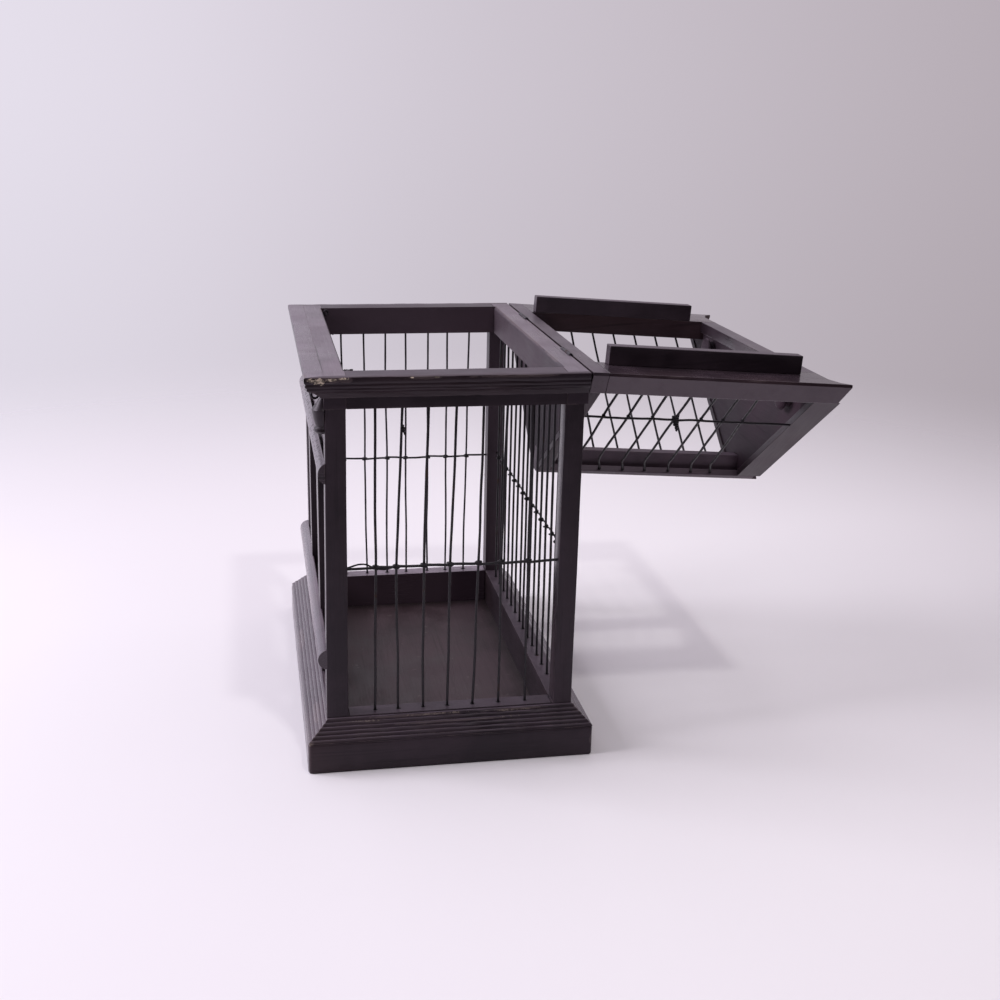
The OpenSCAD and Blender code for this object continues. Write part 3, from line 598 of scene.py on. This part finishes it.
def tie(start, end, crossings, travel, normal, axis, seed, sag=0.0, radius=TIE_R, pitch=1.7, wave=0.35, turns=None):
    """A tie wire from start to end that takes one turn round each wire it crosses."""
    travel, normal, axis = Vector(travel), Vector(normal), Vector(axis)
    r = WIRE_R + radius
    pts = [Vector(start)]
    prev = Vector(start)
    for k, c in enumerate(crossings):
        c = Vector(c)
        enter = c + normal * r - travel * 2.6 + axis * (wander(seed + k, 0.3) * wave - sag)
        mid = prev.lerp(enter, 0.5) + axis * (wander(seed + k, 1.7) * wave) + normal * (0.2 * wander(seed - k, 2.2))
        pts += [mid, enter]
        drop = pitch * (1 if wander(seed * 3 + k, 5.1) > -0.2 else -1)
        for i in range(13 if turns is None or k in turns else 0):
            a = 2 * math.pi * i / 12
            pts.append(c + (normal * math.cos(a) + travel * math.sin(a)) * r * 0.93 + axis * (drop * (i / 12 - 0.5) - sag))
        leave = c + normal * r + travel * 2.8 + axis * (drop * 0.35 - sag)
        pts.append(leave)
        prev = leave
    mid = prev.lerp(Vector(end), 0.5) + axis * (wander(seed, 9.7) * wave)
    pts += [mid, Vector(end)]
    return smooth_line(pts, 3)


def coil(centre, axis, side, r, turns, pitch, wire=0.7, tail=2.0):
    """A little knot of wire wound round a point."""
    axis, side = Vector(axis).normalized(), Vector(side).normalized()
    other = axis.cross(side)
    pts = []
    n = int(turns * 12)
    c = Vector(centre) - axis * pitch * turns / 2
    pts.append(c + side * (r + tail) - axis * 1.2)
    for i in range(n + 1):
        a = 2 * math.pi * i / 12
        rr = r * (1 + 0.12 * math.sin(a * 0.63 + 1.1))
        pts.append(c + (side * math.cos(a) + other * math.sin(a)) * rr + axis * pitch * i / 12)
    pts.append(pts[-1] + side * tail * 0.7 + axis * 1.6)
    return smooth_line(pts, 3), wire


def sockets(name, spots, body, up=(0, 0, 1)):
    """Small dark countersunk holes where wires enter the wood."""
    verts, faces = [], []
    up = Vector(up).normalized()
    side = up.orthogonal().normalized()
    other = up.cross(side)
    rnd = random.Random(len(spots) * 7 + 3)
    for c, r in spots:
        c = Vector(c)
        base = len(verts)
        loops = [(r * 1.0, 0.02), (r * 0.82, 0.20), (r * 0.60, 0.16), (WIRE_R * 0.9, -0.30)]
        for rr, h in loops:
            for i in range(14):
                a = 2 * math.pi * i / 14
                q = rr * (1 + (rnd.random() - 0.5) * (0.22 if rr > r * 0.7 else 0.05))
                verts.append(c + (side * math.cos(a) + other * math.sin(a)) * q + up * h)
        for k in range(3):
            for i in range(14):
                j = (i + 1) % 14
                faces.append((base + k * 14 + i, base + k * 14 + j, base + (k + 1) * 14 + j, base + (k + 1) * 14 + i))
    o = add_mesh(name, verts, faces, M["socket"])
    return finish_piece(o, body, ())


# ---- base: plinth boards with rounded corners
def corner_path(inset, corner, half, n=4):
    """Points on half of the rounding of a plinth corner, from the middle of the arc outwards to the side."""
    sx, sy = corner
    r = max(3.0 - inset, 0.6)
    cx, cy = sx * (BX - inset - r), sy * (BY - inset - r)
    a0 = math.atan2(sy, sx)
    target = {"x": 0.0 if sx > 0 else math.pi, "y": math.pi / 2 * sy}[half]
    d = (target - a0 + math.pi) % (2 * math.pi) - math.pi
    return [(cx + r * math.cos(a0 + d * i / n), cy + r * math.sin(a0 + d * i / n)) for i in range(n + 1)]


def plinth(name, side, replaced, mat):
    if side in ("front", "hinge"):
        sx = -1 if side == "front" else 1
        ends, half, inner = [(sx, -1), (sx, 1)], "x", [(FL if sx < 0 else FR, -FY), (FL if sx < 0 else FR, FY)]
        shift = (0, 1)
    else:
        sy = -1 if side == "near" else 1
        ends, half, inner = [(-1, sy), (1, sy)], "y", [(FL, sy * FY), (FR, sy * FY)]
        shift = (1, 0)
    rings = []
    for z, inset in ((0.0, 1.0), (0.3, 0.45), (1.0, 0.0), (8, 0.0), (15, 0.05), (20.4, 0.0), (21.4, 0.35), (22.0, 1.2)):
        a = corner_path(inset, ends[0], half)
        b = corner_path(inset, ends[1], half)[::-1]
        straight = [(a[-1][0] + (b[0][0] - a[-1][0]) * i / 16, a[-1][1] + (b[0][1] - a[-1][1]) * i / 16) for i in range(1, 16)]
        outer = a + straight + b
        g = 0.06
        ring = []
        for i, (x, y) in enumerate(outer):
            k = g if i == 0 else (-g if i == len(outer) - 1 else 0)
            w = 0.10 * wander(len(name) + 1.7, i * 0.6) if 0 < i < len(outer) - 1 and inset < 1.1 else 0.0
            w = min(w, 0.0)
            ox, oy = (-math.copysign(abs(w), x), 0) if half == "x" else (0, -math.copysign(abs(w), y))
            ring.append((x + shift[0] * k + (ox if half == "x" else 0) * 1, y + shift[1] * k + (oy if half == "y" else 0) * 1, z))
        ring += [(inner[1][0] - shift[0] * g, inner[1][1] - shift[1] * g, z), (inner[0][0] + shift[0] * g, inner[0][1] + shift[1] * g, z)]
        rings.append(ring)
    o = loft(name, rings, mat)
    return finish_piece(o, "cage", replaced)


plinth("plinth_board_front", "front", ["plinth_front"], M["base_y"])
plinth("plinth_board_hinge_side", "hinge", ["plinth_hinge_side"], M["base_y"])
plinth("plinth_board_near", "near", ["plinth_near_end"], M["base_x"])
plinth("plinth_board_far", "far", ["plinth_far_end"], M["base_x"])

# ---- the two near posts, which lean a little
def post(name, x_out, x_in, foot, top, replaced):
    """foot and top: how far the outer and the inner face stand to +X of the true post; the part beside the bottom rail stays true."""
    rings = []
    sx = -1 if x_out < x_in else 1
    levels = [(8.0, 0), (20.0, 0), (LOW_Z - 0.05, 0), (LOW_Z, 1)] + [(LOW_Z + (HIGH_Z - LOW_Z) * i / 18, 1) for i in range(1, 19)]
    for z, free in levels:
        s = max(0.0, (z - LOW_Z) / (HIGH_Z - LOW_Z))
        out = x_out + foot[0] + (top[0] - foot[0]) * s
        inn = x_in + (foot[1] + (top[1] - foot[1]) * s) * free
        wob = 0.16 * wander(len(name) + 0.4, s * 5.0)
        x0, x1 = sorted((out + wob, inn + (wob if free else 0)))
        y0, y1, c = -FY + 0.10 * wander(3.1, s * 4 + x_out), -IY, 0.75
        ring = [(x0 + c, y0), (x1 - c, y0), (x1 - c * 0.3, y0 + c * 0.3), (x1, y0 + c), (x1, y1 - c), (x1 - c * 0.3, y1 - c * 0.3), (x1 - c, y1),
                (x0 + c, y1), (x0 + c * 0.3, y1 - c * 0.3), (x0, y1 - c), (x0, y0 + c), (x0 + c * 0.3, y0 + c * 0.3)]
        rings.append([(x, y, z) for x, y in ring])
    return finish_piece(loft(name, rings, M["cage_z"]), "cage", replaced)


post("corner_post_front_near", FL, IL, (-2.0, -0.5), (0.5, 0.7), ["post_front_near"])
post("corner_post_hinge_near", FR, IR, (0.7, 0.7), (2.1, 2.3), ["post_hinge_near"])

# ---- base: reeded moulding
STEPS = 6


def reeds():
    """(share outwards, z) round the reeded moulding, from the top inner corner outwards and down."""
    pts = [(0.0, MOULD_TOP), (0.035, MOULD_TOP)]
    swell = (0.75, 0.50, 0.62, 0.46, 0.60, 0.52)
    for k in range(STEPS):
        for f in (0.10, 0.28, 0.50, 0.72, 0.90, 1.0) if k < STEPS - 1 else (0.10, 0.28, 0.50, 0.70):
            run = 0.035 + (k + f) / STEPS * 0.945
            lift = swell[k] * (math.sin(math.pi * f) ** 0.8 if f < 1.0 else -0.28)
            pts.append((run + lift * 0.045, MOULD_TOP - (MOULD_TOP - PLINTH_H) * (k + f) / STEPS + lift * 0.70))
    pts += [(0.965, PLINTH_H + 0.35), (0.965, PLINTH_H), (0.0, PLINTH_H)]
    return pts


def base_corner(sx, sy):
    return lambda t: ((sx * (BX - (FR if sx > 0 else -FL)) * t + (FR if sx > 0 else FL)), sy * (FY + (BY - FY) * t), 0)


RUNS = [("front", (-1, -1), (-1, 1), (-1, 0)), ("hinge_side", (1, -1), (1, 1), (1, 0)), ("near_end", (-1, -1), (1, -1), (0, -1)), ("far_end", (-1, 1), (1, 1), (0, 1))]
for k, (label, a, b, out) in enumerate(RUNS):
    o = moulded_run("reeded_moulding_" + label, reeds(), base_corner(*a), base_corner(*b), out, M["base_y" if out[0] else "base_x"], 20.0 + k)
    finish_piece(o, "cage", ["base_moulding_" + label])

# ---- cornice
CZ = lambda f: CORNICE_Z + (CAGE_H - CORNICE_Z) * f
CORNICE = [(0.0, 1.0), (0.90, 1.0), (0.965, 0.985), (0.995, 0.945), (1.0, 0.88), (1.0, 0.82), (0.99, 0.77), (0.965, 0.735), (0.932, 0.705), (0.922, 0.675),
           (0.935, 0.645), (0.945, 0.61), (0.938, 0.57), (0.912, 0.54), (0.872, 0.515), (0.852, 0.49),
           (0.860, 0.46), (0.862, 0.43), (0.845, 0.395), (0.805, 0.365), (0.745, 0.345), (0.660, 0.320), (0.580, 0.290), (0.495, 0.250),
           (0.410, 0.200), (0.330, 0.150), (0.250, 0.105), (0.180, 0.060), (0.125, 0.020), (0.10, 0.0), (0.0, 0.0)]
CORNICE = [(t, CZ(f)) for t, f in CORNICE]


def cornice_corner(sy):
    return lambda t: (FL - CORNICE_OUT * t, sy * (FY + CORNICE_END * t), 0)


def cornice_tail(sy):
    return lambda t: (HINGE_OUT, sy * (FY + CORNICE_END * t), 0)


o = moulded_run("cornice_moulding_front", CORNICE, cornice_corner(-1), cornice_corner(1), (-1, 0), M["cornice_y"], 31.0)
finish_piece(o, "cage", ["cornice_front"])
for sy, label in ((-1, "near_end"), (1, "far_end")):
    o = moulded_run("cornice_moulding_" + label, CORNICE, cornice_corner(sy), cornice_tail(sy), (0, sy), M["cornice_x"], 33.0 + sy)
    finish_piece(o, "cage", ["cornice_" + label])

# ---- upright wires of the cage
NEAR_FEET = [-52.4, -36.3, -18.7, -1.7, 16.2, 34.8, 54.0]
NEAR_TOPS = [-50.7, -32.8, -15.4, 3.1, 21.1, 37.2, 54.1]
FAR_FEET = [-51.9, -33.4, -15.6, 1.4, 20.3, 36.6, 53.0]
FAR_TOPS = [-53.7, -34.7, -16.2, 1.0, 20.3, 36.8, 55.8]
NEAR_MIDS = [0.2, -2.9, -1.4, -1.0, 0.5, -0.9, -0.4]
seats = []


def wall(name, feet, tops, mat, replaced, seed, bow=0.55, side=(1, 0, 0), depth=(0, 1, 0), top_z=HIGH_Z, radius=WIRE_R, mids=None):
    """mids: how far each wire is drawn aside at the height of the tie wire."""
    lines = []
    for k, (f, t) in enumerate(zip(feet, tops)):
        low, high = Vector((f[0], f[1], LOW_Z - 3)), Vector((t[0], t[1], top_z + 3))
        line = upright(low, high, seed + k * 1.37, bow, side=side, depth=depth)
        if mids:
            for q in line:
                s = min(max((q.z - LOW_Z) / (HIGH_Z - LOW_Z), 0.0), 1.0)
                q += Vector(side) * mids[k] * min(s / 0.487, (1 - s) / 0.513) ** 0.85
        lines.append(smooth_line(line, 3))
        seats.append(((f[0], f[1], LOW_Z), 1.75 + 0.35 * wander(seed + k, 0.7)))
    wires(name, [(l, radius) for l in lines], mat, "cage", replaced)
    return lines


near = wall("wire_bars_near_end", [(x, -WY) for x in NEAR_FEET], [(x, -WY) for x in NEAR_TOPS], M["wire"], ["wires_near_end"], 40, mids=NEAR_MIDS)
far = wall("wire_bars_far_end", [(x, WY) for x in FAR_FEET], [(x, WY) for x in FAR_TOPS], M["wire_far"], ["wires_far_end"], 50, radius=0.82)
rnd = random.Random(11)
side_y = [-IY + k * 2 * IY / 15 for k in range(1, 15)]
hinge_wall = wall("wire_bars_hinge_side", [(WR + rnd.uniform(-.3, .3), y + rnd.uniform(-1.1, 1.1)) for y in side_y],
                  [(WR + rnd.uniform(-.3, .3), y + rnd.uniform(-1.1, 1.1)) for y in side_y], M["wire"], ["wires_hinge_side"], 60, side=(0, 1, 0), depth=(1, 0, 0))
bay = IY - 58 - 10
front_y = sorted([s * (IY - k * bay / 4) for s in (-1, 1) for k in (1, 2, 3)] + [-48 + k * 16 for k in range(1, 6)])
front_wall = wall("wire_bars_front", [(WL, y + rnd.uniform(-.8, .8)) for y in front_y], [(WL, y + rnd.uniform(-.8, .8)) for y in front_y], M["wire"],
                  ["wires_front"], 80, side=(0, 1, 0), depth=(1, 0, 0), top_z=211)
sockets("wire_sockets_cage", seats, "cage")

# ---- tie wires of the cage with the loop of spare wire, and the loose knots of wire above them
TIE_Z, SIDE_TIE_Z = 142.0, 146.0
ties = []
for lines, sy, seed, size in ((near, -1, 3.1, 0.98), (far, 1, 5.3, 0.85)):
    cross = [point_at(l, 2, TIE_Z) for l in lines]
    y = sy * (WY + WIRE_R + size + 0.05)
    ties.append((tie((IL - 4, y, TIE_Z), (IR + 4, y, TIE_Z + 0.4), cross, (1, 0, 0), (0, sy, 0), (0, 0, 1), seed, radius=size, pitch=1.5, wave=0.3), size))
for lines, x, nx, seed in ((hinge_wall, WR, 1, 7.7), (front_wall, WL, -1, 9.9)):
    cross = [point_at(l, 2, SIDE_TIE_Z) for l in lines]
    xx = x + nx * (WIRE_R + 0.62 + 0.05)
    ties.append((tie((xx, -IY - 4, SIDE_TIE_Z), (xx, IY + 4, SIDE_TIE_Z), cross, (0, 1, 0), (nx, 0, 0), (0, 0, 1), seed, radius=0.62, wave=0.5), 0.62))
ny = -(WY + TIE_GAP)
ties.append((smooth_line([(IL - 3, ny + 0.3, TIE_Z - 0.4), (IL + 2.5, ny, TIE_Z + 1.4), (IL + 8, ny - 0.2, TIE_Z + 3.0), (IL + 13, ny, TIE_Z + 2.7),
                          (-53.8, ny - 0.1, TIE_Z + 0.6), (-51.9, ny - 0.9, TIE_Z - 0.2), (-49.6, ny, TIE_Z - 0.9), (-45, ny - 0.1, TIE_Z - 1.2),
                          (-40.0, ny, TIE_Z - 0.3), (-38.2, ny + 0.2, TIE_Z + 1.2)], 6), 0.62))
knots = [coil(point_at(near[1], 2, 236.6) + Vector((0.9, 0, 0)), (0, 0, 1), (0.8, -0.6, 0), 1.0, 2.4, 1.5, 0.62, 0.7),
         coil((-67.9, -122.6, 270.8), (0.1, 0.1, 1), (0.9, -0.1, 0), 1.9, 2.6, 1.15, 0.85, 0.3),
         coil((-67.2, -121.7, 272.95), (1, 0.02, 0.0), (0, 0.6, -0.7), 0.95, 3.4, 1.25, 0.8, 0.0),
         coil((-60.5, WY - 4.4, 254.2), (0.9, 0.1, 0.4), (0, -1, 0), 1.3, 1.8, 1.3, 0.75, 1.2)]
wires("tie_wires_cage", ties, M["tie"], "cage", ["cage_tie_wires"], sides=2)
wires("loose_wire_knots", knots, M["tie"], "cage", (), sides=2)

# ---- wires of the lid
lid_seats_near, lid_lines_near, lid_lines_far = [], [], []
tilt_side = (lid_point(1, 0, 0) - lid_point(0, 0, 0))
NEAR_U = [23.7, 41.1, 58.5, 75.3, 93.2, 109.8, 123.6]
NEAR_FAN = [3.0, 3.5, 5.0, 6.0, 7.4, 9.6, 11.3]
for k, u in enumerate(NEAR_U):
    t = STRIP_T / 2
    d0, d1 = NEAR_SLOPE.foot_d(t) - 6, NEAR_SLOPE.length - STRIP_W
    du = NEAR_FAN[k] + 0.3 * wander(k + 1.1, 4.4)
    pts = []
    for i in range(10):
        s = i / 9
        d = d0 + (d1 - 25 - d0) * s
        w = 0.55 * wander(90 + k, s * 3.0) * min(1, 6 * s)
        pts.append(NEAR_SLOPE.at(u + w + du * s, d, t + 0.25 * wander(95 + k, s * 3)))
    bend = 5.6 + 0.7 * wander(k * 2.2, 1.3)
    for share, back, lift in ((0.16, 16.5, 0.5), (0.50, 9.5, 0.7), (0.86, 3.0, 0.4), (1.0, -0.5, 0.0), (1.05, -3.5, 0.0)):
        pts.append(NEAR_SLOPE.at(u + du + bend * share, d1 - back, t + lift))
    lid_lines_near.append(smooth_line(pts, 4))
    lid_seats_near.append((NEAR_SLOPE.at(u + du + bend, d1 - 0.1, t), 1.25))
for k in range(8):
    u = 16.6 + 18.9 * k
    t = STRIP_T / 2
    a = FAR_SLOPE.at(u, FAR_SLOPE.foot_d(t) - 6, t)
    b = FAR_SLOPE.at(u + 0.9 * wander(k + 5.5, 2.2), FAR_SLOPE.length - 1.5, t)
    n = (b - a).normalized().cross(tilt_side).normalized()
    lid_lines_far.append(smooth_line(upright(a, b, 101 + k * 1.9, 0.55, side=tilt_side, depth=n), 3))
wires("lid_wire_bars_near", [(l, WIRE_R) for l in lid_lines_near], M["wire"], "lid", ["lid_wires_near"])
wires("lid_wire_bars_far", [(l, WIRE_R) for l in lid_lines_far], M["wire"], "lid", ["lid_wires_far"])
down = (NEAR_SLOPE.at(0, 1, 0) - NEAR_SLOPE.at(0, 0, 0))
sockets("lid_wire_sockets", lid_seats_near, "lid", up=-down)

lid_ties = []
for slope, lines, seed in ((NEAR_SLOPE, lid_lines_near, 13.3), (FAR_SLOPE, lid_lines_far, 17.1)):
    d = 0.28 * slope.length
    axis = slope.at(0, 1, 0) - slope.at(0, 0, 0)
    out = slope.at(0, 0, -1) - slope.at(0, 0, 0)
    o0 = slope.at(0, d, STRIP_T / 2)
    cross = []
    for l in lines:
        best = min(range(len(l) - 1), key=lambda i: abs((l[i] - o0).dot(axis)))
        p, q = l[best], l[best + 1] if (l[best] - o0).dot(axis) < 0 else l[best - 1]
        fp, fq = (p - o0).dot(axis), (q - o0).dot(axis)
        cross.append(p.lerp(q, fp / (fp - fq)) if abs(fp - fq) > 1e-6 else p)
    a, b = slope.at(7, d, STRIP_T / 2 - TIE_GAP), slope.at(167, d + 0.5, STRIP_T / 2 - TIE_GAP)
    lid_ties.append((tie(a, b, cross, tilt_side, out, axis, seed, wave=0.7, radius=0.80, pitch=0.6, turns=() if slope is NEAR_SLOPE else (2, 5)), 0.85))
    if slope is NEAR_SLOPE:
        run = (lines[0][-1] - lines[0][0]).normalized()
        for k, c in enumerate(cross):
            if k != 3:
                lid_ties.append(([c + out * 0.7 - run * 1.5 - tilt_side * 0.7, c + out * 0.9, c + out * 0.7 + run * 1.5 + tilt_side * 0.7], 1.25))
        # the joined ends of the tie wire, twisted together on the fourth wire and left hanging
        down = Vector((0.12, 0.0, -1.0)).normalized()
        c = cross[3] + out * 0.6
        lid_ties.append(coil(c, down, tilt_side, 1.75, 2.6, 1.5, 0.95, 0.6))
        lid_ties.append(coil(c + down * 4.2, down, tilt_side, 1.25, 2.4, 1.55, 0.9, 0.5))
        lid_ties.append((smooth_line([c + down * 5.5, c + down * 7.6 + tilt_side * 0.5, c + down * 9.3 - tilt_side * 0.2], 4), 0.8))
wires("tie_wires_lid", lid_ties, M["tie"], "lid", ["lid_tie_wires"], sides=2)

# ---- CAD pieces that stay
for name, o in nodes.items():
    if not o.hide_render:
        dress(name, o)

# ---------------------------------------------------------------- stage: pale floor, soft light, camera
g = Graph("pale_floor")
p = g.coords()
fcol = g.blend(g.span(g.noise(p, 1.3, 3, 0.5), 0.3, 0.7), (0.838, 0.818, 0.844), (0.858, 0.838, 0.866))
# painted light: the floor is drawn lighter towards +x, where the lamps and the sky light it less
fcol = g.blend(g.span(g.split(p)[0], -0.30, 0.30), fcol, (0.950, 0.935, 0.945))
g.join(fcol, g.bsdf.inputs["Base Color"])
g.bsdf.inputs["Roughness"].default_value = 0.62
g.bsdf.inputs["Specular IOR Level"].default_value = 0.25
g.join(g.bump(g.noise(p, 900, 2, 0.5), 0.0001, 0.15), g.bsdf.inputs["Normal"])
# far from the cage the floor passes into the backdrop, without a horizon
clear, mix = g.node("ShaderNodeBsdfTransparent"), g.node("ShaderNodeMixShader")
g.join(g.span(g.vmath("LENGTH", p), 0.32, 1.45), mix.inputs[0])
g.join(g.bsdf.outputs["BSDF"], mix.inputs[1])
g.join(clear.outputs["BSDF"], mix.inputs[2])
g.join(mix.outputs["Shader"], g.out.inputs["Surface"])
me = bpy.data.meshes.new("studio_floor")
me.from_pydata([(-14, -14, 0), (14, -14, 0), (14, 14, 0), (-14, 14, 0)], [], [(0, 1, 2, 3)])
me.materials.append(g.mat)
floor = bpy.data.objects.new("studio_floor", me)
scene.collection.objects.link(floor)


class Sky(Graph):
    def __init__(self, world):
        world.use_nodes = True
        self.tree = world.node_tree
        self.tree.nodes.clear()
        self.out = self.node("ShaderNodeOutputWorld")
        self.back = self.node("ShaderNodeBackground")
        self.join(self.back.outputs["Background"], self.out.inputs["Surface"])


world = bpy.data.worlds.new("studio")
scene.world = world
g = Sky(world)
way = g.node("ShaderNodeTexCoord").outputs["Generated"]
_, wy, wz = g.split(way)
lean = g.vmath("DOT_PRODUCT", way, (-0.94, 0.34, 0.0))
side = g.span(lean, -1.0, 1.0)
level = g.math("MULTIPLY_ADD", side, SKY_RIGHT_TO_LEFT[1] - SKY_RIGHT_TO_LEFT[0], SKY_RIGHT_TO_LEFT[0])
level = g.math("ADD", level, g.span(lean, 0.55, 0.95, 0.0, 0.55))
level = g.math("MULTIPLY", level, g.span(wy, -0.35, 0.25, 0.06, 1.0))
level = g.math("MULTIPLY", level, g.span(wz, 0.02, -0.20, 1.02, 0.96))
level = g.math("MULTIPLY", level, g.span(lean, 0.15, 0.45, 0.93, 1.0))
top = g.span(wz, 0.3, 1.0)
level = g.math("ADD", g.math("MULTIPLY", level, g.math("SUBTRACT", 1.0, top)), g.math("MULTIPLY", g.math("MULTIPLY", top, SKY_TOP), g.span(wy, -0.6, 0.4, 0.45, 1.0)))
g.join(g.blend(side, (1.0, 0.85, 0.92), (1.0, 0.96, 1.09)), g.back.inputs["Color"])
g.join(level, g.back.inputs["Strength"])


def lamp(name, place, target, size, power, colour, size_y=None):
    li = bpy.data.lights.new(name, "AREA")
    li.energy, li.color, li.size = power, colour, size
    if size_y:
        li.shape, li.size_y = "RECTANGLE", size_y
    o = bpy.data.objects.new(name, li)
    scene.collection.objects.link(o)
    o.location = place
    o.rotation_euler = (Vector(target) - Vector(place)).to_track_quat("-Z", "Y").to_euler()
    return o


lamp("soft_left", (-2.1, 0.15, 1.25), (0, 0.05, 0.1), 1.5, 52, (1.0, 0.945, 1.03), 1.2)
lamp("overhead", (0.45, -1.35, 2.9), (0.1, 0, 0), 0.17, 12, (1.0, 0.98, 0.97))

yaw, pitch, roll = math.radians(10.934), math.radians(17.197), math.radians(1.211)
cb, sb, ca, sa, cc, sc = math.cos(yaw), math.sin(yaw), math.cos(pitch), math.sin(pitch), math.cos(roll), math.sin(roll)
view = (Matrix(((cc, -sc, 0), (sc, cc, 0), (0, 0, 1))) @ Matrix(((1, 0, 0), (0, ca, -sa), (0, sa, ca)))
        @ Matrix(((1, 0, 0), (0, 0, -1), (0, 1, 0))) @ Matrix(((cb, -sb, 0), (sb, cb, 0), (0, 0, 1))))
cam = bpy.data.cameras.new("camera")
cam.lens, cam.sensor_width, cam.clip_start, cam.clip_end = 47.64, 36, 0.05, 60
camera = bpy.data.objects.new("camera", cam)
scene.collection.objects.link(camera)
turn = Matrix((view[0], -view[1], -view[2])).transposed()
camera.matrix_world = Matrix.Translation((-0.128772, -0.974467, 0.450404)) @ turn.to_4x4()
scene.camera = camera
scene.view_settings.view_transform = "Standard"
